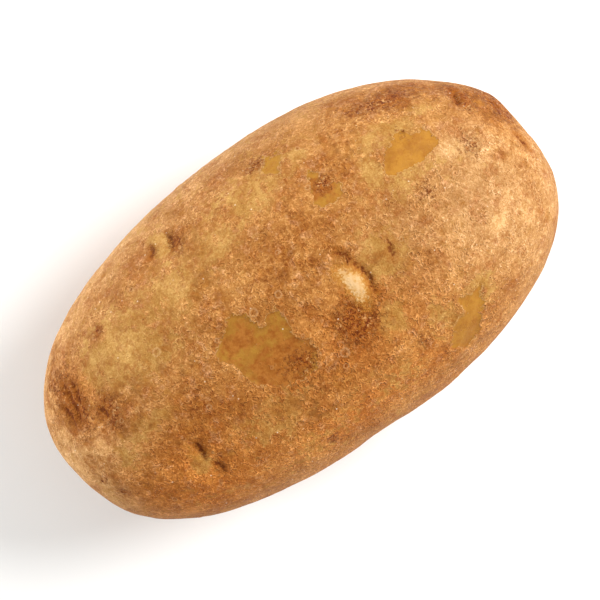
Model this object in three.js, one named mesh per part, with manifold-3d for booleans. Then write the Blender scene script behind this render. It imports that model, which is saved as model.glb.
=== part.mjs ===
// A long russet potato, lying on its flattest side. Millimetres.
// +X runs along the tuber to its broad end, +Y across it and +Z up. The origin is on the surface
// that the tuber rests on, under the middle of its length and width.
//
// The body is a rounded superellipsoid that is slightly tapered, twisted and bowed. Low swellings
// and hollows make it irregular, and each eye sits in a shallow basin. A level cut gives the small
// flat that it rests on.

import * as THREE from "three";
import { mergeVertices } from "three/addons/utils/BufferGeometryUtils.js";
import Module from "manifold-3d";

// Driving dimensions
const LENGTH = 130;
const WIDTH = 73.4;
const CROWN = 30.6; // from the widest level up to the top
const KEEL = 30.4; // from the widest level down to the underside, before the flat is cut
const REST_DEPTH = 0.45; // how much of the underside the flat takes away
const BOW = 1.1; // how far both ends bend towards -Y
const ARCH = 1.5; // how far both ends rise
const TAPER = 0.15; // how much thicker the broad end is than the narrow one, as a share of the height
const TWIST = 8; // how far the cross-section turns between the ends, in degrees
const ROUNDNESS_ALONG = 2.35; // exponent of the outline along the tuber: 2 is an ellipse
const ROUNDNESS_ACROSS = 2.15; // exponent of the cross-section
const SEGMENTS = { x: 42, y: 25, z: 23 }; // facets along the edges of the box that is rounded

const LENGTHWISE = new THREE.Vector3(1, 0, 0);
const half = { x: LENGTH / 2, y: WIDTH / 2 };
const REST_LEVEL = -(KEEL - REST_DEPTH); // height of the flat, measured from the widest level

// Which side of the widest level a feature is on
const TOP = 1;
const RIM = 0;
const UNDER = -1;

// Swellings (rise above 0) and hollows (rise below 0). x and y place the middle, spread is how far
// it reaches, all in millimetres.
const UNDULATIONS = [
  // round the rim, from the broad end towards +Y
  { x: 62.8, y: 12, side: RIM, spread: 3.4, rise: 0.9 }, // knob beside the end eye
  { x: 64.5, y: 3.5, side: RIM, spread: 5, rise: -0.8 },
  { x: 54, y: 23, side: RIM, spread: 7, rise: -0.4 },
  { x: 27, y: 35, side: RIM, spread: 15, rise: 0.7 },
  { x: -36, y: 33, side: RIM, spread: 17, rise: -0.9 },
  { x: -63, y: 9, side: RIM, spread: 7, rise: 0.5 },
  { x: -64, y: -9, side: RIM, spread: 6, rise: -0.7 },
  { x: -24, y: -36, side: RIM, spread: 9, rise: -0.3 },
  { x: -1, y: -36.7, side: RIM, spread: 5, rise: -0.8 },
  { x: 17, y: -36, side: RIM, spread: 13, rise: 0.5 },
  { x: 60, y: -16, side: RIM, spread: 10, rise: 0.5 },
  // over the top
  { x: 34, y: -12, side: TOP, spread: 17, rise: 0.9 },
  { x: 27, y: 17, side: TOP, spread: 11, rise: -0.5 },
  { x: -2, y: 12, side: TOP, spread: 15, rise: 0.7 },
  { x: -28, y: 4, side: TOP, spread: 14, rise: -0.4 },
  { x: -45, y: -8, side: TOP, spread: 11, rise: 0.7 },
  { x: -18, y: -25, side: TOP, spread: 12, rise: 0.4 },
  // underneath
  { x: 38, y: 14, side: UNDER, spread: 16, rise: -0.9 },
  { x: 44, y: -16, side: UNDER, spread: 14, rise: 0.8 },
  { x: -33, y: 19, side: UNDER, spread: 13, rise: 0.6 },
  { x: -42, y: -12, side: UNDER, spread: 14, rise: -0.8 },
  { x: 6, y: -27, side: UNDER, spread: 13, rise: 0.5 },
];

// The basins that the eyes sit in. They come closer together towards the broad end.
const EYE_BASINS = [
  { x: 12.5, y: -6, side: TOP, spread: 6, depth: 0.9 },
  { x: -17, y: 27, side: TOP, spread: 5.5, depth: 1.1 },
  { x: -37, y: -17, side: TOP, spread: 5, depth: 0.8 },
  { x: -54.5, y: 10, side: TOP, spread: 5.5, depth: 1.2 },
  { x: -11, y: -10, side: TOP, spread: 4.5, depth: 0.5 },
  { x: 56.5, y: 15, side: TOP, spread: 3.2, depth: 0.9 },
  { x: 60, y: -5, side: UNDER, spread: 5, depth: 0.9 },
  { x: 37, y: -24, side: UNDER, spread: 5.5, depth: 0.9 },
  { x: 22, y: 26, side: UNDER, spread: 6, depth: 1.1 },
  { x: -14, y: -29, side: UNDER, spread: 5.5, depth: 0.9 },
  { x: -38, y: 20, side: UNDER, spread: 5.5, depth: 0.9 },
];

// The dimple where the tuber grew from its runner, at the narrow end
const RUNNER_SCAR = { x: -61.5, y: 2, side: UNDER, spread: 4, depth: 1.4 };

// Height of the smooth body over a point of its outline, positive above the widest level
function bodyHeight(x, y, side) {
  const along = Math.abs(x / half.x) ** ROUNDNESS_ALONG;
  const across = Math.abs(y / half.y) ** ROUNDNESS_ACROSS;
  const left = Math.max(1 - along, 0) ** (ROUNDNESS_ACROSS / ROUNDNESS_ALONG) - across;
  return side * (side > 0 ? CROWN : KEEL) * Math.max(left, 0) ** (1 / ROUNDNESS_ACROSS);
}

// The smooth body's surface in one direction from its middle, with its outward normal
function bodyPoint(direction) {
  const size = [half.x, half.y, direction.z > 0 ? CROWN : KEEL];
  const [x, y, z] = direction.toArray().map((value, axis) => value / size[axis]);
  const ring = Math.abs(y) ** ROUNDNESS_ACROSS + Math.abs(z) ** ROUNDNESS_ACROSS;
  const ringPower = ROUNDNESS_ALONG / ROUNDNESS_ACROSS;
  const reach = (Math.abs(x) ** ROUNDNESS_ALONG + ring ** ringPower) ** (-1 / ROUNDNESS_ALONG);
  const slope = (value, power, axis) => (Math.sign(value) * Math.abs(value) ** (power - 1)) / size[axis];
  const ringSlope = Math.max(ring, 1e-12) ** (ringPower - 1);
  return {
    point: direction.clone().multiplyScalar(reach),
    normal: new THREE.Vector3(
      slope(x, ROUNDNESS_ALONG, 0),
      slope(y, ROUNDNESS_ACROSS, 1) * ringSlope,
      slope(z, ROUNDNESS_ACROSS, 2) * ringSlope,
    ).normalize(),
  };
}

const features = [
  ...UNDULATIONS,
  ...[...EYE_BASINS, RUNNER_SCAR].map((basin) => ({ ...basin, rise: -basin.depth })),
].map(({ x, y, side, spread, rise }) => ({
  middle: new THREE.Vector3(x, y, bodyHeight(x, y, side)),
  spread,
  rise,
}));

// The finished skin in one direction: the body, raised or lowered along its normal, then tapered,
// twisted and bowed from end to end
function skinPoint(direction) {
  const { point, normal } = bodyPoint(direction);
  const rise = features.reduce(
    (sum, f) => sum + f.rise * Math.exp(-point.distanceToSquared(f.middle) / (2 * f.spread ** 2)),
    0,
  );
  point.addScaledVector(normal, rise);
  const station = point.x / half.x; // -1 at the narrow end and 1 at the broad end
  point.z *= 1 + (TAPER / 2) * station;
  point.applyAxisAngle(LENGTHWISE, THREE.MathUtils.degToRad((TWIST / 2) * station));
  point.y -= BOW * station ** 2;
  point.z += ARCH * station ** 2;
  return point;
}

// A box whose square facets are blown up to the skin, so that they stay even all over
function tuberGeometry() {
  const box = new THREE.BoxGeometry(2, 2, 2, SEGMENTS.x, SEGMENTS.y, SEGMENTS.z);
  box.deleteAttribute("normal");
  box.deleteAttribute("uv");
  const geometry = mergeVertices(box, 1e-5);
  const position = geometry.getAttribute("position");
  const corner = new THREE.Vector3();
  for (let i = 0; i < position.count; i += 1) {
    corner.fromBufferAttribute(position, i);
    const evened = corner.toArray().map((value) => Math.tan((value * Math.PI) / 4));
    const direction = new THREE.Vector3(evened[0] * half.x, evened[1] * half.y, evened[2] * CROWN);
    const skin = skinPoint(direction.normalize());
    position.setXYZ(i, skin.x, skin.y, skin.z);
  }
  return geometry;
}

const wasm = await Module();
wasm.setup();

function toSolid(geometry) {
  return new wasm.Manifold(
    new wasm.Mesh({
      numProp: 3,
      vertProperties: new Float32Array(geometry.getAttribute("position").array),
      triVerts: new Uint32Array(geometry.index.array),
    }),
  );
}

function toGeometry(solid) {
  const { vertProperties, triVerts } = solid.getMesh();
  const geometry = new THREE.BufferGeometry();
  geometry.setAttribute("position", new THREE.BufferAttribute(vertProperties, 3));
  geometry.setIndex(new THREE.BufferAttribute(triVerts, 1));
  return geometry;
}

// Everything below the flat is cut away
function cutFlat(geometry) {
  const block = new THREE.BoxGeometry(2 * LENGTH, 2 * WIDTH, KEEL);
  block.deleteAttribute("normal");
  block.deleteAttribute("uv");
  block.translate(0, 0, REST_LEVEL - KEEL / 2);
  return toGeometry(toSolid(geometry).subtract(toSolid(mergeVertices(block))));
}

function buildTuber() {
  const geometry = cutFlat(tuberGeometry());
  geometry.computeBoundingBox();
  const { min, max } = geometry.boundingBox;
  geometry.translate(-(min.x + max.x) / 2, -(min.y + max.y) / 2, -min.z);
  geometry.computeVertexNormals();
  const skin = new THREE.MeshStandardMaterial({ color: 0xc78a4a, roughness: 0.72, metalness: 0 });
  const mesh = new THREE.Mesh(geometry, skin);
  mesh.name = "tuber";
  return mesh;
}

const potato = new THREE.Group();
potato.name = "potato";
potato.add(buildTuber());

export default potato;
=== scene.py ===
"""A long russet potato, seen from above on a plain pale floor.

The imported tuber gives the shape. Its skin is remade here as one fine closed mesh, wrapped on the
tuber, and then gets what grows on it: eyes, flaked patches, breathing pores and russet netting.
Sizes are in millimetres in the tuber's own frame until a mesh is finished, and Blender's are metres.
"""

import math

import bmesh
import bpy
import numpy as np
from mathutils import Matrix, Vector, noise
from mathutils.bvhtree import BVHTree


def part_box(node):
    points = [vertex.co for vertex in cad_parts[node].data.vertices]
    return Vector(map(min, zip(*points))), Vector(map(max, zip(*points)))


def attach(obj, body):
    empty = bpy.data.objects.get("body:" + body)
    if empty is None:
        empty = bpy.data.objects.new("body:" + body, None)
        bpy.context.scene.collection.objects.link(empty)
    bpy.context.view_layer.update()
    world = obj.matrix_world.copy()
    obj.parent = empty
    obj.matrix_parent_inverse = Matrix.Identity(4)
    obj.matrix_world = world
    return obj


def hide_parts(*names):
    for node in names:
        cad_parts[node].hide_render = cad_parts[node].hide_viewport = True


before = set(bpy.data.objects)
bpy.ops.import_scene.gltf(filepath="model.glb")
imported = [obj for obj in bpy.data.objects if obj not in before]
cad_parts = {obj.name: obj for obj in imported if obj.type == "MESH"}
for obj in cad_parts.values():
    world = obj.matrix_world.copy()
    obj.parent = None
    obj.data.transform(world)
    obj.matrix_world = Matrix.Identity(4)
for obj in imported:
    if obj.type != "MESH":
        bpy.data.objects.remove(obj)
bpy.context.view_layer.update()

MM = 0.001
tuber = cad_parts["tuber"]
low, high = (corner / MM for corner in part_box("tuber"))
middle = (low + high) / 2
half = (high - low) / 2

TOP, RIM, UNDER = 1, 0, -1

# ---------------------------------------------------------------------------------------------
# What grows on the skin. x and y place a feature in the plan, on the top, the rim or the underside.
# ---------------------------------------------------------------------------------------------

# Eyes: a slit across the tuber, with a brow on its +X side and a bud on the other.
# slit is its length, depth its depth, turn swings it round, and bud is the bud's height.
EYES = [
    {"x": 15.3, "y": -4.9, "side": TOP, "slit": 9.5, "depth": 0.8, "turn": 4, "bud": 0.6},
    {"x": -15.3, "y": 26.5, "side": TOP, "slit": 7.0, "depth": 0.7, "turn": -12, "bud": 0.1},
    {"x": -36.8, "y": -15.2, "side": TOP, "slit": 5.5, "depth": 0.5, "turn": -4, "bud": 0.2},
    {"x": -54.5, "y": 10.0, "side": TOP, "slit": 12.0, "depth": 0.9, "turn": -8, "bud": 0.0},
    {"x": 55.4, "y": 15.3, "side": TOP, "slit": 7.0, "depth": 1.0, "turn": -27, "bud": 0.0},
    {"x": 59.5, "y": -5.0, "side": UNDER, "slit": 7.5, "depth": 0.8, "turn": 10, "bud": 0.4},
    {"x": 38.0, "y": -23.5, "side": UNDER, "slit": 9.0, "depth": 0.8, "turn": -8, "bud": 0.5},
    {"x": 23.0, "y": 26.0, "side": UNDER, "slit": 10.0, "depth": 0.9, "turn": 5, "bud": 0.5},
    {"x": -13.0, "y": -29.0, "side": UNDER, "slit": 9.0, "depth": 0.8, "turn": -5, "bud": 0.4},
    {"x": -37.0, "y": 20.0, "side": UNDER, "slit": 9.0, "depth": 0.8, "turn": 12, "bud": 0.5},
    # little cracks beside them
    {"x": 13.8, "y": 0.2, "side": TOP, "slit": 3.2, "depth": 0.4, "turn": -23, "bud": 0.0},
    {"x": 13.0, "y": 2.3, "side": TOP, "slit": 3.2, "depth": 0.4, "turn": 40, "bud": 0.0},
    {"x": 22.9, "y": -3.2, "side": TOP, "slit": 5.6, "depth": 0.35, "turn": -11, "bud": 0.0},
    {"x": -20.2, "y": 26.8, "side": TOP, "slit": 4.5, "depth": 0.25, "turn": -30, "bud": 0.0},
    {"x": -52.2, "y": 11.5, "side": TOP, "slit": 7.0, "depth": 0.5, "turn": -15, "bud": 0.0},
    {"x": -56.8, "y": 8.0, "side": TOP, "slit": 8.0, "depth": 0.7, "turn": -5, "bud": 0.0},
    {"x": -49.5, "y": 4.5, "side": TOP, "slit": 4.0, "depth": 0.4, "turn": 15, "bud": 0.0},
    {"x": -35.4, "y": -20.5, "side": TOP, "slit": 4.0, "depth": 0.3, "turn": 10, "bud": 0.0},
    {"x": 61.4, "y": -1.0, "side": TOP, "slit": 6.0, "depth": 0.5, "turn": 8, "bud": 0.0},
    {"x": 62.0, "y": 9.0, "side": TOP, "slit": 5.0, "depth": 0.4, "turn": 20, "bud": 0.0},
]

# Patches where the russet skin has flaked off, as outlines in the plan. gold is how bright the
# bare skin is: 1 is clear amber and 0 is a duller olive.
FLAKED = [
    {"side": TOP, "gold": 0.1, "outline": [
        (-15, 5), (-13.5, 4.8), (-11.2, 2.6), (-10.5, 0), (-9.5, -1), (-7.6, 0.5),
        (-4.8, 1), (-5, -3.3), (-5.2, -6.5), (-2.9, -11.3), (-3.4, -13.1), (-6.7, -15.5),
        (-13.1, -14.7), (-16.2, -12.5), (-18.3, -10), (-19.4, -5.5), (-22.1, -0.2),
        (-17.5, 3),
    ]},
    {"side": TOP, "gold": 1.0, "outline": [
        (33.2, 13.6), (34.8, 14.6), (38.2, 16.2), (39.6, 15.8), (40.8, 14.3), (44.4, 13.9),
        (44.9, 10), (43.5, 8.3), (40.5, 8.3), (33.1, 9.2), (31.2, 10.1), (32.2, 12.2),
    ]},
    {"side": TOP, "gold": 0.8, "outline": [
        (28, -21.5), (34.5, -21.5), (32.5, -25), (29.8, -27.8), (28, -30.5), (24, -31.2),
        (21.5, -29.5), (24, -26), (28.3, -24.5),
    ]},
    {"side": TOP, "gold": 0.2, "outline": [
        (18.3, 21.1), (19.4, 19.9), (18.9, 16.2), (21, 15.7), (21.9, 14.7), (21.6, 12.9),
        (19.5, 11.8), (16.3, 12.2), (15.1, 13.6), (16.2, 17.6),
    ]},
    {"side": TOP, "gold": 0.2, "outline": [
        (10, 26.5), (11.5, 29.3), (15, 28.5), (15.5, 26.5), (12.5, 24.5),
    ]},
    {"side": UNDER, "gold": 0.6, "outline": [
        (-6, 12), (1, 15), (7, 13), (9, 6), (3, 3), (-4, 5),
    ]},
    {"side": UNDER, "gold": 0.2, "outline": [
        (-52, -2), (-46, 2), (-41, -1), (-43, -7), (-50, -8),
    ]},
    {"side": UNDER, "gold": 0.8, "outline": [
        (40, 2), (45, 5), (50, 3), (49, -3), (43, -3),
    ]},
]

# Tones: soft zones of the skin, by kind. Each has its place in the plan and its side, how far it
# reaches along and across the tuber, and how strong it is.
TONES = {
    "russet": [  # rough and brown
        (3, 8, TOP, (10, 8), 0.7),
        (-55, 9.5, TOP, (5, 8), 1.2),
        (-48, 3, TOP, (7, 7), 0.9),
        (-31, -9, TOP, (9, 8), 0.7),
        (-49, -12, TOP, (6, 5), 0.45),
        (-14, 11, TOP, (9, 4), 0.5),
        (8, -12, TOP, (5, 5), 1.0),
        (-5, -20, TOP, (11, 6), 0.5),
        (24, -10, TOP, (9, 6), 0.3),
        (47, 23.5, TOP, (13, 4), 1.2),
        (60, 11, TOP, (4, 6), 1.4),
        (-12.5, 26, TOP, (2.5, 5), 0.6),
        (-33, -17, TOP, (2.5, 6), 0.6),
        (19, 19, TOP, (6, 4), 0.5),
        (26, 21, TOP, (8, 6), 0.6),
    ],
    "straw": [  # smooth and yellow
        (-38, 12, TOP, (13, 8), 0.9),
        (-20, 17, TOP, (9, 6), 0.75),
        (-10, 20, TOP, (8, 5), 0.7),
        (4, 25, TOP, (8, 5), 0.7),
        (19, 26, TOP, (6, 3.5), 0.5),
        (36, 18, TOP, (8, 3), 0.8),
        (46, 18, TOP, (4, 2), 0.7),
        (20.5, -3.8, TOP, (3.5, 4), 1.3),
        (14, -16, TOP, (2.5, 2.5), 1.2),
        (34, 7.5, TOP, (7, 3), 0.7),
        (29, 12, TOP, (2.5, 4), 0.9),
        (34, -22, TOP, (3.5, 3.5), 0.7),
        (24, -23, TOP, (3, 3.5), 0.8),
        (7, -28, TOP, (7, 4), 0.5),
        (-19, -19, TOP, (8, 5), 0.6),
        (-14, -28, TOP, (9, 5), 0.4),
        (-44, -4, TOP, (6, 2.5), 0.7),
        (-51, -7, TOP, (3, 3), 0.7),
        (-38, -17.7, TOP, (1.8, 2.2), 1.2),
        (0, 33, RIM, (45, 12), 0.35),
        (-17.4, 27, TOP, (2.2, 3.2), 1.4),
        (58.5, 11, TOP, (3.5, 3.5), 0.6),
    ],
    "pale": [  # dry and light, with painted rim sheen where a zone lies on the rim
        (46, -12, TOP, (2.2, 2.2), 1.6),
        (47, 6, TOP, (3, 2), 1.2),
        (-64, 0, RIM, (6, 20), 1.2),
        (54, -20, TOP, (9, 9), 0.6),
        (-52, 24, RIM, (14, 9), 1.0),
        (-36, 30, RIM, (20, 9), 0.9),
        (-60, -12, TOP, (4, 7), 1.0),
        (-62, 12, RIM, (4, 7), 0.9),
        (53, -3, TOP, (8, 10), 0.3),
        (49, -1, TOP, (4, 4), 0.5),
        (38, -13, TOP, (12, 7), 0.2),
    ],
    "dust_and_sheen": [  # pinkish and dusty, with painted rim sheen where a zone lies on the rim
        (62, -9, RIM, (8, 15), 0.9),
        (46, -8, TOP, (12, 14), 0.8),
        (49, 5, TOP, (8, 6), 0.7),
        (30, -4, TOP, (10, 10), 0.5),
        (-5, 31, RIM, (50, 15), 0.7),
    ],
    "warm": [  # orange, and along the lower side a painted warm glow of light bounced into the shade
        (-42, -22, TOP, (18, 11), 0.65),
        (-15, -31, RIM, (22, 12), 0.4),
        (16, -34, RIM, (18, 10), 0.4),
        (2, -16, TOP, (22, 9), 0.35),
        (-4, -29, TOP, (27, 6), 0.5),
        (59, 11, TOP, (4, 5), 0.3),
        (-53, 8, TOP, (5, 8), 0.6),
    ],
    "stain": [  # brown, inside a flaked patch
        (-10.4, -10.2, TOP, (6.5, 4.2), 1.3),
        (-12, -5, TOP, (11, 10), 0.35),
        (-15.6, -0.4, TOP, (3.5, 2), 0.9),
        (18.6, 16.7, TOP, (2.4, 2.4), 1.0),
    ],
    "pitted": [  # torn and dark
        (7.6, -12, TOP, (3.4, 3.2), 1.4),
        (11, -13.8, TOP, (2, 1.5), 0.6),
        (-7.6, -12.4, TOP, (3.3, 2.4), 0.8),
        (19, 16.8, TOP, (1.7, 1.7), 1.0),
        (-14.8, 25.6, TOP, (1.2, 3), 1.2),
        (-20, 27.4, TOP, (1.2, 2.5), 0.6),
        (9.4, 29.2, TOP, (2, 1.4), 0.9),
        (14, 1.5, TOP, (1.8, 1.4), 0.5),
        (50.7, 4.8, TOP, (3, 2.4), 0.6),
        (36.4, 2.1, TOP, (2, 2), 0.6),
        (41, 24.5, TOP, (7, 2.4), 1.0),
        (40, 16, TOP, (1.4, 1.4), 0.45),
        (55.8, 15.5, TOP, (2, 4), 1.6),
        (62.3, 9, TOP, (2.6, 4.5), 1.8),
        (-54.5, 10.5, TOP, (3, 6), 1.1),
        (-48.3, 4, TOP, (3, 3.5), 0.85),
        (-36.4, -15.4, TOP, (1.1, 2.2), 0.8),
        (-35.4, -21, TOP, (1.1, 2), 0.7),
        (-40.8, 19.6, TOP, (1.3, 1), 1.1),
        (-57.2, 16.3, TOP, (1, 1), 0.9),
        (-59.3, -8.1, TOP, (1, 1), 1.1),
        (-56.8, -13.2, TOP, (1.2, 1), 1.1),
        (-11.6, -30.3, TOP, (1.2, 1), 0.9),
        (17, -24.2, TOP, (1, 1.4), 0.8),
    ],
}

# More of them at seeded places, for the sides and the underside
MORE_TONES = {
    "count": 44,
    "seed": 3,
    "kinds": ("russet", "straw", "warm", "pale", "russet", "pitted"),
    "spread": 0.95,  # how much of the plan they are spread over
}

# Breathing pores at seeded places, and the few large ones
PORES = {"count": 90, "apart": 9.0, "seed": 5}
LARGE_PORES = [
    {"x": -2.9, "y": 2.8, "side": TOP, "radius": 0.7},
    {"x": -9.6, "y": 2.7, "side": TOP, "radius": 0.8},
    {"x": -32.0, "y": 8.1, "side": TOP, "radius": 0.8},
    {"x": 1.5, "y": -16.0, "side": TOP, "radius": 0.9},
]

# ---------------------------------------------------------------------------------------------
# The skin's mesh
# ---------------------------------------------------------------------------------------------

GRID = (180, 112, 100)  # facets along each edge of the box that is blown up to the tuber
SMOOTHINGS = 24  # takes the tuber's own coarse facets off the wrapped skin


def gridded_box():
    """A box from -1 to 1 with an even grid of facets on each side."""
    box = bmesh.new()
    bmesh.ops.create_cube(box, size=2)
    for axis, cuts in enumerate(GRID):
        along = [e for e in box.edges if abs((e.verts[0].co - e.verts[1].co).normalized()[axis]) > 0.9]
        bmesh.ops.subdivide_edges(box, edges=along, cuts=cuts - 1)
    return box


def unfold(box):
    """The box's six sides laid side by side in the map that exported textures are drawn on."""
    columns, rows, layers = GRID
    gap = 3
    corners = {
        (2, 1): (0, 0), (2, -1): (0, rows + gap),
        (1, 1): (columns + gap, 0), (1, -1): (columns + gap, layers + gap),
        (0, 1): (0, 2 * (rows + gap)), (0, -1): (rows + gap, 2 * (rows + gap)),
    }
    span = max(2 * (columns + gap), 2 * (rows + gap) + layers)
    uv = box.loops.layers.uv.new("OFBake")
    box.normal_update()
    for face in box.faces:
        axis = max(range(3), key=lambda i: abs(face.normal[i]))
        sign = 1 if face.normal[axis] > 0 else -1
        across, up = [i for i in range(3) if i != axis]
        left, bottom = corners[(axis, sign)]
        for loop in face.loops:
            place = loop.vert.co
            u = (place[across] + 1) / 2 * GRID[across]
            if sign * (1, -1, 1)[axis] < 0:
                u = GRID[across] - u  # so that the side isn't seen mirrored in the map
            v = (place[up] + 1) / 2 * GRID[up]
            loop[uv].uv = ((left + u + gap / 2) / (span + gap), (bottom + v + gap / 2) / (span + gap))


def smooth_tuber():
    """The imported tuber, merged to one closed surface, in millimetres, for rays to hit."""
    body = bmesh.new()
    body.from_mesh(tuber.data)
    bmesh.ops.remove_doubles(body, verts=body.verts, dist=1e-6)
    bmesh.ops.scale(body, vec=Vector((1, 1, 1)) / MM, verts=body.verts)
    return BVHTree.FromBMesh(body)


def wrap(box, surface):
    """Blows the box up until it lies on the surface, with its facets kept even."""
    for vert in box.verts:
        evened = Vector(math.tan(value * math.pi / 4) * size for value, size in zip(vert.co, half))
        vert.co = surface.ray_cast(middle, evened.normalized())[0]
    every_way = {"use_axis_x": True, "use_axis_y": True, "use_axis_z": True}
    for _ in range(SMOOTHINGS):
        bmesh.ops.smooth_vert(box, verts=box.verts, factor=0.5, **every_way)
    box.normal_update()


# ---------------------------------------------------------------------------------------------
# Relief and marks
# ---------------------------------------------------------------------------------------------


def fade(values, start, end):
    """0 before start, 1 after end, and smooth between them."""
    share = np.clip((values - start) / (end - start), 0, 1)
    return share * share * (3 - 2 * share)


def bell(values, spread):
    return np.exp(-((values / spread) ** 2))


def grain(points, size, seed, octaves=3):
    """Soft noise from about -1 to 1, with patches of that size."""
    shift = Vector((seed * 37.1, seed * -19.7, seed * 11.3))
    return np.array([noise.fractal(Vector(p) / size + shift, 0.7, 2.1, octaves) for p in points])


def netting(points, size, seed):
    """0 along the cracks of a net with meshes of that size, rising to about 1 inside them."""
    shift = Vector((seed * 23.3, seed * 7.9, seed * -31.1))
    gaps = []
    for p in points:
        distances = noise.voronoi(Vector(p) / size + shift)[0]
        gaps.append(distances[1] - distances[0])
    return np.array(gaps)


class Spot:
    """A place on the skin with the directions along the tuber, across it and out of it."""

    def __init__(self, surface, x, y, side, turn=0):
        start = Vector((x, y, middle.z + side * 2 * half.z))
        if side == RIM:
            self.place, self.out = surface.find_nearest(start)[:2]
        else:
            self.place, self.out = surface.ray_cast(start, Vector((0, 0, -side)))[:2]
        along = Matrix.Rotation(math.radians(turn), 3, "Z") @ Vector((1, 0, 0))
        self.along = (along - self.out * along.dot(self.out)).normalized()
        self.across = self.out.cross(self.along)

    def local(self, points):
        """Each point's distance along, across and out from the spot."""
        axes = np.array([self.along, self.across, self.out])
        return ((points - np.array(self.place)) @ axes.T).T


def inside_distance(points, outline):
    """Signed distance in the plan from each point to a closed outline, positive inside."""
    nearest = np.full(len(points), np.inf)
    inside = np.zeros(len(points), bool)
    for start, end in zip(outline, outline[1:] + outline[:1]):
        edge = np.subtract(end, start)
        offset = points[:, :2] - start
        share = np.clip(offset @ edge / (edge @ edge), 0, 1)
        nearest = np.minimum(nearest, np.linalg.norm(offset - share[:, None] * edge, axis=1))
        crosses = (points[:, 1] < start[1]) != (points[:, 1] < end[1])
        if edge[1]:
            inside ^= crosses & (points[:, 0] < start[0] + (points[:, 1] - start[1]) * edge[0] / edge[1])
    return np.where(inside, nearest, -nearest)


def flaked_depth(points):
    """How far inside a flaked patch each point lies, in millimetres, below 0 outside, and its gold."""
    ragged = 0.7 * grain(points, 2.6, 1) + 0.35 * grain(points, 0.9, 2)
    depth = np.full(len(points), -5.0)
    gold = np.zeros(len(points))
    for patch in FLAKED:
        own_side = patch["side"] * (points[:, 2] - middle.z)
        inside = np.minimum(inside_distance(points, patch["outline"]) + ragged, own_side)
        gold = np.where(inside > depth, patch["gold"], gold)
        depth = np.maximum(depth, inside)
    return depth, gold


def more_tones():
    """Seeded tones of moderate strength, below the widest level."""
    generator = np.random.default_rng(MORE_TONES["seed"])
    zones = {kind: [] for kind in TONES}
    for index in range(MORE_TONES["count"]):
        kind = MORE_TONES["kinds"][index % len(MORE_TONES["kinds"])]
        angle = generator.uniform(0, 2 * math.pi)
        away = MORE_TONES["spread"] * math.sqrt(generator.uniform(0, 1))
        reach = generator.uniform(2, 4, 2) if kind == "pitted" else generator.uniform(5, 14, 2)
        x, y = away * half.x * math.cos(angle), away * half.y * math.sin(angle)
        zones[kind].append((x, y, UNDER, tuple(reach), generator.uniform(0.4, 0.8)))
    return zones


def tone(surface, points, kind):
    """How strongly one kind of tone shows at each point."""
    total = np.zeros(len(points))
    for x, y, side, reach, strength in TONES[kind] + more_tones()[kind]:
        along, across, out = Spot(surface, x, y, side).local(points)
        far = (along / reach[0]) ** 2 + (across / reach[1]) ** 2 + (out / max(reach)) ** 2
        total = np.maximum(total, strength * np.exp(-0.6 * far))
    return total


def eye_relief(surface, points):
    """The rise of the eyes' brows and buds and the fall of their slits.

    Also gives each point's distance from the nearest slit, and how much it is on a bud.
    """
    rise = np.zeros(len(points))
    gap = np.full(len(points), 9.0)
    bud_mark = np.zeros(len(points))
    wander = 0.35 * grain(points, 3.0, 3) + 0.25 * grain(points, 1.2, 12)
    for eye in EYES:
        spot = Spot(surface, eye["x"], eye["y"], eye["side"], eye["turn"])
        along, across, out = spot.local(points)
        reach = np.abs(across) / (eye["slit"] / 2)
        open_part = np.clip(1 - reach**2, 0, 1) * bell(out, 8)
        along = along + 0.1 * eye["slit"] * reach**2 + wander
        slit = bell(along, np.where(along > 0, 0.45, 0.8)) * open_part
        brow = bell(along - 1.9, 1.4) * open_part
        bud = bell(along + 0.34 * eye["slit"], 0.22 * eye["slit"]) * bell(across, 0.4 * eye["slit"])
        rise += 0.2 * eye["depth"] * brow + eye["bud"] * bud * bell(out, 8) - eye["depth"] * slit
        gap = np.minimum(gap, np.abs(along) + 0.7 * reach**4 + (np.abs(out) > 6) * 9)
        far = (along / eye["slit"] + 0.36) ** 2 / 0.045 + (across / eye["slit"]) ** 2 / 0.24 + (out / 8) ** 2
        bud_mark = np.maximum(bud_mark, np.exp(-0.8 * far) * min(1, eye["bud"] / 0.6))
    return rise, gap, bud_mark


def pore_relief(surface, points):
    """The rise of the breathing pores, each a low ring with a dimple, kept a little apart.

    Also gives each point's distance from the nearest pore's middle, as a share of the ring's radius.
    """
    generator = np.random.default_rng(PORES["seed"])
    places, sizes = [], []
    for index in generator.permutation(len(points)):
        place = points[index]
        gaps = (np.linalg.norm(place - other) for other in places)
        if all(gap > PORES["apart"] * generator.uniform(0.6, 1.4) for gap in gaps):
            places.append(place)
            sizes.append(generator.uniform(0.3, 0.55))
        if len(places) == PORES["count"]:
            break
    for pore in LARGE_PORES:
        places.append(np.array(Spot(surface, pore["x"], pore["y"], pore["side"]).place))
        sizes.append(pore["radius"])
    rise = np.zeros(len(points))
    share = np.full(len(points), 9.0)
    for place, size in zip(places, sizes):
        far = np.linalg.norm(points - place, axis=1)
        rise += 0.12 * bell(far - size, 0.4) - 0.1 * bell(far, 0.6 * size)
        share = np.minimum(share, far / size)
    return rise, share


def store(mesh, name, values):
    attribute = mesh.attributes.new(name, "FLOAT", "POINT")
    attribute.data.foreach_set("value", values.astype(np.float32))


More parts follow.
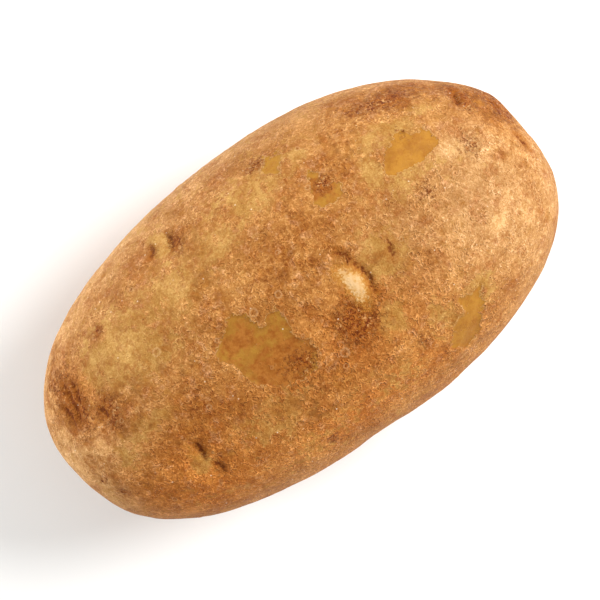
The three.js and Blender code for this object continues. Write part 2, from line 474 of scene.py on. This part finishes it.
def tuber_skin():
    """The finished skin: one closed mesh with all its relief, and the marks that its finish reads."""
    surface = smooth_tuber()
    box = gridded_box()
    unfold(box)
    wrap(box, surface)
    points = np.array([v.co for v in box.verts])
    outward = np.array([v.normal for v in box.verts])

    flaked, gold = flaked_depth(points)
    russet = tone(surface, points, "russet") + 0.35 * grain(points, 9, 4) + 0.2 * grain(points, 3, 5)
    rough = fade(russet, 0.0, 0.9) * (1 - fade(flaked, -0.3, 0.3))
    eye_rise, slit_gap, bud = eye_relief(surface, points)
    pore_rise, pore_share = pore_relief(surface, points)
    pitted = tone(surface, points, "pitted")

    swell = 0.22 * grain(points, 13, 6, 2) + 0.08 * grain(points, 4, 7)
    net = (netting(points, 2.1, 8) - 0.4) * 0.22 + 0.08 * grain(points, 1.3, 9)
    lip = 0.16 * bell(flaked + 0.45, 0.35)
    rise = swell + rough * net + eye_rise + pore_rise + lip - 0.2 * fade(flaked, -0.2, 0.35)
    rise -= pitted * (0.1 + 0.15 * grain(points, 1.6, 10))
    lifted = fade(points[:, 2] - low.z, 0.2, 2.0)  # the flat that it rests on stays flat
    points = points + outward * (rise * lifted)[:, None]

    for vert, place in zip(box.verts, points):
        vert.co = place * MM
    mesh = bpy.data.meshes.new("tuber_skin")
    box.to_mesh(mesh)
    box.free()
    mesh.polygons.foreach_set("use_smooth", [True] * len(mesh.polygons))
    store(mesh, "flaked", flaked)
    store(mesh, "gold", gold)
    store(mesh, "russet", russet)
    store(mesh, "pitted", pitted)
    for name in ("straw", "dust_and_sheen", "pale", "warm", "stain"):
        store(mesh, name, tone(surface, points, name))
    store(mesh, "slit_gap", slit_gap)
    store(mesh, "bud", bud)
    store(mesh, "pore_share", pore_share)
    skin = bpy.data.objects.new("tuber_skin", mesh)
    bpy.context.scene.collection.objects.link(skin)
    return skin


# ---------------------------------------------------------------------------------------------
# Finishes
# ---------------------------------------------------------------------------------------------

MID_GREY = (0.5, 0.5, 0.5)  # what a random colour averages

# What these do to the colour under them, for red, green, blue and alpha
STRAND_HIGHLIGHT_GAIN = [1.6, 1.75, 2.2, 1.0]  # painted highlight: a strand that stands up is lightened as if lit
SHADE_AND_GRAIN_LOSS = [0.64, 0.44, 0.23, 1.0]  # painted shade: the brown is deeper inside a pit and on a strand's low side; the fine speckle grain is darkened by it too
WARM_TONE_AND_GLOW_GAIN = [1.28, 1.19, 0.94, 1.0]  # warm skin is more orange, and along the lower side this paints the warm glow of light bounced into the shade

# The marks on the mesh that the finish reads
MARKS = (
    "flaked", "gold", "russet", "pitted", "straw", "dust_and_sheen", "pale", "warm", "stain", "slit_gap", "bud",
    "pore_share",
)

# Random patterns: the size of their patches in millimetres, then detail, roughness, twist and shift.
# Shifts keep patterns of like sizes from falling on each other. Real cork is grained more finely than
# the speckle, which is drawn coarse enough to show.
PATTERNS = {
    "ragged pattern": (2.4, 4, 0.65, 0, 0),
    "chipped pattern": (1.0, 4, 0.65, 0, 0),
    "torn pattern": (0.9, 4, 0.65, 0, 9),
    "clump pattern": (4.0, 3, 0.6, 0, 12),
    "wool": (1.3, 2, 0.6, 2, 7),
    "mottle pattern": (9.0, 6, 0.75, 0, 0),
    "yellow pattern": (6.0, 5, 0.7, 0, 1),
    "brown pattern": (1.6, 3, 0.55, 0, 2),
    "brown fleck pattern": (2.6, 4, 0.55, 0, 4),
    "pale fleck pattern": (2.6, 5, 0.7, 0, 5),
    "speckle pattern": (0.32, 2, 0.6, 0, 6),
    "cloud pattern": (4.5, 4, 0.65, 0, 0),
    "amber fleck pattern": (1.1, 4, 0.7, 0, 15),
    "umber pattern": (1.4, 4, 0.65, 0, 0),
    "broken pattern": (2.0, 3, 0.6, 0, 17),
    "dark bit pattern": (0.9, 2, 0.6, 1, 11),
    "pale bit pattern": (1.0, 2, 0.6, 1, 13),
    "bud fleck pattern": (0.9, 3, 0.6, 0, 16),
    "group pattern": (7.0, 2, 0.55, 0, 14),
    "dull pattern": (1.2, 3, 0.55, 0, 0),
}

# Curled strands, in three sizes: a cell's size, the curl's radius and the strand's width, and a shift
CURLS = [(1.5, 0.66, 0.22, 0.0), (1.2, 0.50, 0.18, 5.0), (1.8, 0.85, 0.24, 9.0)]

SPECK_SPACING = 2.6  # between the middles of pale specks, in millimetres
BUMP_DEPTH = 0.19  # of the felt, in millimetres

# How marks and patterns become the shares that colours are laid on by. Each line is made from those
# above it. STEP is a soft step between two values, from 0 to 1 or else between the last two numbers.
# The others are arithmetic, done in turn along the line.
SHARES = [
    ("ragged", "STEP", "ragged pattern", 0.3, 0.7, -0.45, 0.45),
    ("chipped", "STEP", "chipped pattern", 0.3, 0.7, -0.45, 0.45),
    ("torn", "STEP", "torn pattern", 0.3, 0.7, -0.45, 0.45),
    # where the skin is smooth and yellow, where it is rough and brown, and where it has flaked off
    ("straw edge", "ADD", "straw", "ragged"),
    ("smooth", "STEP", "straw edge", 0.15, 0.75),
    ("russet edge", "ADD", "russet", "ragged"),
    ("rough", "STEP", "russet edge", 0.05, 0.95),
    ("flaked edge", "ADD", "flaked", "chipped"),
    ("worn off", "STEP", "flaked edge", -0.06, 0.06),
    ("still on", "SUBTRACT", 1.0, "worn off"),
    ("near rim", "STEP", "flaked edge", -0.4, -0.1),
    ("rim", "MULTIPLY", "near rim", "still on"),
    # felt: the cork stands up in strands that curl round small pits, with painted highlight on the strands
    # and painted shade in the pits
    ("clumps", "STEP", "clump pattern", 0.35, 0.6, 0.35, 1.0),
    ("most pale", "MAXIMUM", "pale 0", "pale 1", "pale 2"),
    ("curls", "MULTIPLY", "most pale", "clumps"),
    ("most shade", "MAXIMUM", "shade 0", "shade 1", "shade 2"),
    ("pits", "MULTIPLY", "most shade", "clumps"),
    ("pale part", "MULTIPLY", "pale", 0.4),
    ("dust part", "MULTIPLY", "dust_and_sheen", 0.15),
    ("dry", "ADD", "pale part", "dust part"),
    ("smooth part", "MULTIPLY", "smooth", 0.6),
    ("bare of felt", "ADD", "smooth part", "dry"),
    ("felt", "SUBTRACT", 1.0, "bare of felt"),
    # how strong the painted shade is: stronger where the cork is rough
    ("depth", "STEP", "rough", 0.0, 1.0, 0.7, 1.2),
    # painted highlight on the high side of the strand patterns, and painted shade on the low side
    ("strand highlight", "STEP", "strand", 0.5, 0.7),
    ("strand shade", "STEP", "strand", 0.45, 0.3),
    ("wool highlight", "STEP", "wool", 0.52, 0.7),
    ("wool shade", "STEP", "wool", 0.46, 0.3),
    # mottling and flecks
    ("mottle", "STEP", "mottle pattern", 0.33, 0.67),
    ("yellow mottle", "STEP", "yellow pattern", 0.33, 0.67),
    ("brown mottle", "STEP", "brown pattern", 0.35, 0.65),
    ("clouds", "STEP", "cloud pattern", 0.38, 0.7),
    ("umber mottle", "STEP", "umber pattern", 0.35, 0.65),
    ("brown flecks", "STEP", "brown fleck pattern", 0.48, 0.68),
    ("pale flecks", "STEP", "pale fleck pattern", 0.53, 0.62),
    ("speckle", "STEP", "speckle pattern", 0.3, 0.7),
    ("amber flecks", "STEP", "amber fleck pattern", 0.48, 0.68),
    ("stain edge", "ADD", "stain", "ragged"),
    ("stained", "STEP", "stain edge", 0.1, 0.8),
    ("broken", "STEP", "broken pattern", 0.4, 0.6),
    # torn places
    ("pitted edge", "ADD", "pitted", "torn"),
    ("torn open", "STEP", "pitted edge", 0.25, 0.8),
    ("dark bits", "STEP", "dark bit pattern", 0.49, 0.43),
    ("pale bits", "STEP", "pale bit pattern", 0.58, 0.66),
    # slits and buds
    ("slit edge", "ADD", "slit_gap", "torn"),
    ("slit", "STEP", "slit edge", 0.1, 0.7, 1.0, 0.0),
    # painted shade round each slit, fading out away from it
    ("shade round slit", "STEP", "slit edge", 0.3, 2.4, 1.0, 0.0),
    ("less on smooth", "STEP", "smooth", 0.0, 1.0, 1.0, 0.4),
    ("half torn", "MULTIPLY", "torn", 0.5),
    ("sprout", "ADD", "bud", "half torn"),
    ("bud skin", "STEP", "sprout", 0.05, 0.5),
    ("bud middle", "STEP", "sprout", 0.3, 0.85),
    ("woolly", "MULTIPLY", "strand", 0.9),
    ("woolly sprout", "ADD", "sprout", "woolly"),
    ("core", "STEP", "woolly sprout", 0.85, 1.45),
    ("bud flecks", "STEP", "bud fleck pattern", 0.5, 0.66),
    # pores, each a dark dimple in a pale ring, and specks
    ("pore tear", "MULTIPLY", "torn", 0.3),
    ("from pore", "ADD", "pore_share", "pore tear"),
    ("dimple", "STEP", "from pore", 0.3, 0.9, 0.4, 0.0),
    ("past ring", "SUBTRACT", "from pore", 1.1),
    ("off ring", "ABSOLUTE", "past ring"),
    ("ring", "STEP", "off ring", 0.0, 0.4, 0.3, 0.0),
    ("specks", "STEP", "from speck", 0.04, 0.09, 1.0, 0.0),
    ("groups", "STEP", "group pattern", 0.45, 0.6),
    # relief too fine for the mesh
    ("raised", "MULTIPLY", "curls", 0.8),
    ("sunken", "MULTIPLY", "pits", 0.6),
    ("curl height", "SUBTRACT", "raised", "sunken"),
    ("half strand", "MULTIPLY", "strand", 0.5),
    ("fluff", "ADD", "half strand", "wool"),
    ("felt height", "ADD", "curl height", "fluff"),
    ("mostly worn", "MULTIPLY", "worn off", 0.85),
    ("kept", "SUBTRACT", 1.0, "mostly worn"),
    ("off bud", "STEP", "bud", 0.1, 0.6, 1.0, 0.2),
    ("kept height", "MULTIPLY", "felt height", "felt", "kept", "off bud"),
    ("torn height", "MULTIPLY", "torn open", "wool", 2.0),
    ("height", "ADD", "kept height", "torn height"),
    # roughness: dull cork, and skin a little shinier where it has flaked
    ("dull", "STEP", "dull pattern", 0.3, 0.7, 0.62, 0.78),
    ("shine", "MULTIPLY", "worn off", 0.2),
    ("roughness", "SUBTRACT", "dull", "shine"),
]

# Colours in two tones: the share that changes them, its colour at 0 and its colour at 1
TWO_TONES = {
    "tan": ("mottle", "#905820", "#BC8646"),
    "dusty tan": ("mottle", "#A87E4C", "#C49C6C"),
    "orange": ("mottle", "#9C5014", "#C8762A"),
    "pale tan": ("mottle", "#BE9058", "#E0B67E"),
    "yellow": ("yellow mottle", "#A27636", "#C69E5A"),
    "brown": ("brown mottle", "#7A4212", "#A06426"),
    "olive": ("clouds", "#A2742A", "#8A5418"),
    "amber": ("clouds", "#AE782A", "#96601E"),
    "umber": ("umber mottle", "#86440E", "#A8682A"),
}

# The bare skin of a flaked patch, over olive: shares that are multiplied together, then the colour
BARE_SKIN = [
    ("gold", "amber"),
    ("amber flecks", 0.4, "#8A4A12"),
    ("stained", 0.85, "umber"),
]

# The whole skin in the same way, over tan. A gain multiplies the colour under it.
WHOLE_SKIN = [
    # cork: dusty, warm or dry in places, with painted sheen on the rims and a painted glow of bounced light
    # in the shade of the lower side; yellow where it is thin and brown where it is thick
    ("dust_and_sheen", 0.8, "dusty tan"),
    ("warm", 0.85, "orange"),
    ("pale", 0.8, "pale tan"),
    ("smooth", 0.85, "yellow"),
    ("rough", 0.75, "brown"),
    ("brown flecks", 0.5, "#8C4A12"),
    ("pale flecks", 0.3, "felt", "#BE9064"),
    ("warm", 0.8, WARM_TONE_AND_GLOW_GAIN),
    # felt: painted highlight on strands that stick out, and painted shade in the pits between them
    ("strand highlight", "felt", 0.45, STRAND_HIGHLIGHT_GAIN),
    ("strand shade", "felt", "depth", 0.45, SHADE_AND_GRAIN_LOSS),
    ("wool highlight", "felt", 0.5, STRAND_HIGHLIGHT_GAIN),
    ("wool shade", "felt", "depth", 0.6, SHADE_AND_GRAIN_LOSS),
    ("pits", "felt", "depth", 0.5, SHADE_AND_GRAIN_LOSS),
    ("curls", "felt", 0.8, STRAND_HIGHLIGHT_GAIN),
    ("speckle", 0.56, SHADE_AND_GRAIN_LOSS),
    # flaked patches, each with a broken pale rim
    ("rim", "broken", 0.5, "#D8AA6E"),
    ("worn off", 0.9, "bare skin"),
    # torn places
    ("torn open", 0.45, "#8E460C"),
    ("torn open", "dark bits", 0.85, "#642604"),
    ("torn open", "pale bits", 0.7, "#D8A468"),
    # eyes: painted shade round the slit, a pale bud beside it, and the slit darkest, as painted shade in its
    # crease
    ("shade round slit", 0.6, "less on smooth", "#94520F"),
    ("bud skin", 0.75, "#AE7226"),
    ("bud middle", 0.8, "#CA9850"),
    ("core", 0.9, "#DAB482"),
    ("core", "bud flecks", 0.55, "#C08A46"),
    ("dimple", "#7A4218"),
    ("ring", "#D2A878"),
    # painted shade in the slit's crease
    ("slit", 0.8, "#662A06"),
    ("specks", "groups", 0.6, "#F0DCC0"),
]


def linear(hex_colour):
    """An sRGB hex colour as the linear one that shaders take."""
    channels = [int(hex_colour[i : i + 2], 16) / 255 for i in (1, 3, 5)]
    return [c / 12.92 if c <= 0.04045 else ((c + 0.055) / 1.055) ** 2.4 for c in channels] + [1.0]


def add(tree, kind, settings, inputs):
    """Adds a node with its settings, gives its inputs values or links, and returns its outputs."""
    node = tree.nodes.new("ShaderNode" + kind)
    for name, value in settings.items():
        setattr(node, name, value)
    for name, value in inputs.items():
        if isinstance(value, bpy.types.NodeSocket):
            tree.links.new(value, node.inputs[name])
        else:
            node.inputs[name].default_value = value
    return node.outputs


def empty_material(name):
    material = bpy.data.materials.new(name)
    material.use_nodes = True
    material.node_tree.nodes.clear()
    return material


def swirled(tree, mm, size, push, detail, shift):
    """The place pushed about by up to that many millimetres, in swirls of that size."""
    inputs = {"Vector": mm, "W": shift, "Scale": 1 / size, "Detail": detail}
    swirl = add(tree, "TexNoise", {"noise_dimensions": "4D"}, inputs)["Color"]
    centred = add(tree, "VectorMath", {"operation": "SUBTRACT"}, {0: swirl, 1: MID_GREY})["Vector"]
    inputs = {0: centred, 1: (2 * push, 2 * push, 2 * push), 2: mm}
    return add(tree, "VectorMath", {"operation": "MULTIPLY_ADD"}, inputs)["Vector"]


def arc(tree, far, radius, width, open_side):
    """1 on a ring of that radius, fading to 0 at that width from it, and only on its open side."""
    past_ring = add(tree, "Math", {"operation": "SUBTRACT"}, {0: far, 1: radius})[0]
    off_ring = add(tree, "Math", {"operation": "ABSOLUTE"}, {0: past_ring})[0]
    inputs = {"Value": off_ring, "From Max": width, "To Min": 1.0, "To Max": 0.0}
    ring = add(tree, "MapRange", {"interpolation_type": "SMOOTHSTEP"}, inputs)["Result"]
    return add(tree, "Math", {"operation": "MULTIPLY"}, {0: ring, 1: open_side})[0]


def curled(tree, mm, size, radius, width, shift):
    """Strands curled round small pits: how much is strand, which gets painted highlight, and how much is the
    painted shade inside it.
    """
    pushed = swirled(tree, mm, 0.9 * size, 0.8, 1.5, shift)
    moved = add(tree, "VectorMath", {"operation": "ADD"}, {0: pushed, 1: (shift, 0, 0)})["Vector"]
    cell = add(tree, "TexVoronoi", {}, {"Vector": moved, "Scale": 1 / size})
    inputs = {0: moved, 1: cell["Position"]}
    offset = add(tree, "VectorMath", {"operation": "SUBTRACT"}, inputs)["Vector"]
    far = add(tree, "VectorMath", {"operation": "LENGTH"}, {0: offset})["Value"]
    way = add(tree, "VectorMath", {"operation": "NORMALIZE"}, {0: offset})["Vector"]
    inputs = {0: cell["Color"], 1: MID_GREY}
    any_way = add(tree, "VectorMath", {"operation": "SUBTRACT"}, inputs)["Vector"]
    facing = add(tree, "VectorMath", {"operation": "NORMALIZE"}, {0: any_way})["Vector"]
    turned = add(tree, "VectorMath", {"operation": "DOT_PRODUCT"}, {0: way, 1: facing})["Value"]
    inputs = {"Value": turned, "From Min": -0.1, "From Max": 0.4}
    open_side = add(tree, "MapRange", {"interpolation_type": "SMOOTHSTEP"}, inputs)["Result"]
    return [arc(tree, far, radius - inward * width, width, open_side) for inward in (0, 1.4)]


def work_out(tree, found):
    """Adds the result of each line of SHARES to what is found already."""
    step_inputs = ("Value", "From Min", "From Max", "To Min", "To Max")
    for name, action, *values in SHARES:
        values = [found[value] if isinstance(value, str) else value for value in values]
        if action == "STEP":
            inputs = dict(zip(step_inputs, values))
            result = add(tree, "MapRange", {"interpolation_type": "SMOOTHSTEP"}, inputs)["Result"]
        else:
            result = add(tree, "Math", {"operation": action}, dict(enumerate(values[:2])))[0]
            for value in values[2:]:
                result = add(tree, "Math", {"operation": action}, {0: result, 1: value})[0]
        found[name] = result


def paint(tree, found, colours, base, layers):
    """Lays the layers over the base colour, one by one."""
    under = colours[base]
    for first, *others, over in layers:
        cover = found[first]
        for other in others:
            other = found[other] if isinstance(other, str) else other
            cover = add(tree, "Math", {"operation": "MULTIPLY"}, {0: cover, 1: other})[0]
        settings = {"data_type": "RGBA", "blend_type": "MULTIPLY" if isinstance(over, list) else "MIX"}
        if isinstance(over, str):
            over = colours[over] if over in colours else linear(over)
        under = add(tree, "Mix", settings, {0: cover, 6: under, 7: over})[2]
    return under


def russet_potato_skin():
    """Raw russet potato skin: corky, netted and dull, with bare amber or olive skin in flaked patches."""
    material = empty_material("russet_potato_skin")
    tree = material.node_tree
    place = add(tree, "TexCoord", {}, {})["Object"]
    mm = add(tree, "VectorMath", {"operation": "SCALE"}, {0: place, "Scale": 1 / MM})["Vector"]

    found = {name: add(tree, "Attribute", {"attribute_name": name}, {})["Fac"] for name in MARKS}
    noises = {name: (mm, *pattern) for name, pattern in PATTERNS.items()}
    noises["strand"] = (swirled(tree, mm, 1.4, 0.7, 1.0, 5.0), 0.8, 1, 0.5, 1.4, 0)
    for name, (where, size, detail, rough, twist, shift) in noises.items():
        inputs = {"Vector": where, "W": shift, "Scale": 1 / size, "Detail": detail}
        inputs.update({"Roughness": rough, "Distortion": twist})
        found[name] = add(tree, "TexNoise", {"noise_dimensions": "4D"}, inputs)["Fac"]
    for index, curl in enumerate(CURLS):
        found[f"pale {index}"], found[f"shade {index}"] = curled(tree, mm, *curl)
    found["from speck"] = add(tree, "TexVoronoi", {}, {"Vector": mm, "Scale": 1 / SPECK_SPACING})["Distance"]
    work_out(tree, found)

    colours = {}
    for name, (share, at_0, at_1) in TWO_TONES.items():
        inputs = {0: found[share], 6: linear(at_0), 7: linear(at_1)}
        colours[name] = add(tree, "Mix", {"data_type": "RGBA"}, inputs)[2]
    colours["bare skin"] = paint(tree, found, colours, "olive", BARE_SKIN)
    colour = paint(tree, found, colours, "tan", WHOLE_SKIN)

    inputs = {"Height": found["height"], "Strength": 0.9, "Distance": BUMP_DEPTH * MM}
    bump = add(tree, "Bump", {}, inputs)["Normal"]
    shader = add(tree, "BsdfPrincipled", {}, {
        "Base Color": colour, "Roughness": found["roughness"], "IOR": 1.45, "Normal": bump,
        "Specular IOR Level": 0.12, "Sheen Weight": 0.04, "Sheen Roughness": 0.4,
        "Sheen Tint": linear("#FFE8C8"),
    })
    add(tree, "OutputMaterial", {}, {"Surface": shader[0]})
    return material


def matt_white_floor():
    material = empty_material("matt_white_floor")
    tree = material.node_tree
    shader = add(tree, "BsdfPrincipled", {}, {"Base Color": linear("#F8F8F6"), "Roughness": 0.9})
    add(tree, "OutputMaterial", {}, {"Surface": shader[0]})
    return material


# ---------------------------------------------------------------------------------------------
# Stage
# ---------------------------------------------------------------------------------------------

SWING = 35.7  # how far the tuber's length is turned in the picture, in degrees
LENS = 135
WIDEST_LEVEL = 31  # height at which the tuber is widest, in millimetres
PICTURE_WIDTH = 138.1  # what the picture takes in at that level, in millimetres
CENTRE = (0.2, -0.95)  # the place on the tuber's plan that the camera is straight above

ROOM_STRENGTH = 0.62  # how brightly the white room shines

# Lamps: the side of the picture that each is on, in degrees (0 is right and 90 is top), how far out,
# how high and how large it is, in millimetres, and its power in watts
LAMPS = {
    "key": (28, 650, 560, 500, 9.2),
    "fill": (165, 650, 160, 300, 3.6),
}


def make_camera():
    """A long lens straight above the tuber."""
    data = bpy.data.cameras.new("camera")
    data.lens = LENS
    camera = bpy.data.objects.new("camera", data)
    distance = LENS * PICTURE_WIDTH / data.sensor_width
    camera.location = Vector((*CENTRE, WIDEST_LEVEL + distance)) * MM
    camera.rotation_euler = (0, 0, math.radians(-SWING))
    data.clip_start = 0.05
    bpy.context.scene.collection.objects.link(camera)
    bpy.context.scene.camera = camera


def make_floor():
    bm = bmesh.new()
    bmesh.ops.create_grid(bm, x_segments=4, y_segments=4, size=3)
    mesh = bpy.data.meshes.new("floor")
    bm.to_mesh(mesh)
    bm.free()
    mesh.materials.append(matt_white_floor())
    floor = bpy.data.objects.new("floor", mesh)
    bpy.context.scene.collection.objects.link(floor)


def softbox(name, angle, away, height, size, watts):
    """A soft round lamp aimed at the tuber's middle."""
    data = bpy.data.lights.new(name, "AREA")
    data.shape = "DISK"
    data.size = size * MM
    data.energy = watts
    turned = math.radians(angle - SWING)
    place = Vector((away * math.cos(turned), away * math.sin(turned), height))
    lamp = bpy.data.objects.new(name, data)
    lamp.location = place * MM
    lamp.rotation_euler = (middle - place).to_track_quat("-Z", "Y").to_euler()
    lamp.visible_camera = False
    bpy.context.scene.collection.objects.link(lamp)


def make_light():
    """A white room with a large soft lamp on the right and a low weak one on the left."""
    world = bpy.data.worlds.new("world")
    bpy.context.scene.world = world
    world.use_nodes = True
    background = world.node_tree.nodes["Background"]
    background.inputs["Color"].default_value = linear("#FFFFFF")
    background.inputs["Strength"].default_value = ROOM_STRENGTH
    for name, settings in LAMPS.items():
        softbox(name, *settings)
    bpy.context.scene.view_settings.view_transform = "Standard"


make_camera()
make_floor()
make_light()

skin = tuber_skin()
skin.data.materials.append(russet_potato_skin())
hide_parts("tuber")
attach(skin, "root")
